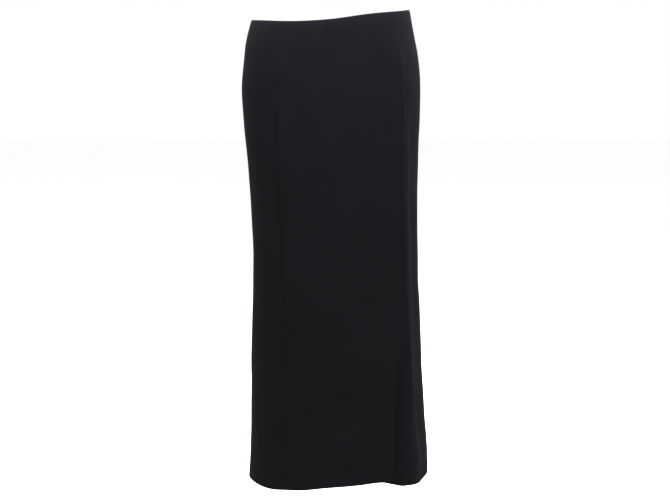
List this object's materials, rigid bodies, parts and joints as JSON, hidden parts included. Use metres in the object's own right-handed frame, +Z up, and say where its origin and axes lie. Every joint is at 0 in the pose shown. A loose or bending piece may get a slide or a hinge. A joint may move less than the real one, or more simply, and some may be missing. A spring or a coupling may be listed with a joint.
{
  "type": "maxi skirt",
  "caption": "Full-length column skirt in plain black stretch crepe, in its worn shape, with soft folds, a turned-in waist edge and a turned-up hem.",
  "frame": {"origin": "centre of the waist opening, where the wearer's waist holds the skirt", "axes": "+Z up, the front faces -Y, +X to the right of someone who looks at the front"},
  "size_m": [0.3964, 0.2456, 1.007],
  "materials": {
    "crepe": "matt crepe with a faint sheen"
  },
  "bodies": {
    "root": {"front_panel": "crepe", "back_panel": "crepe"}
  },
  "joints": []
}
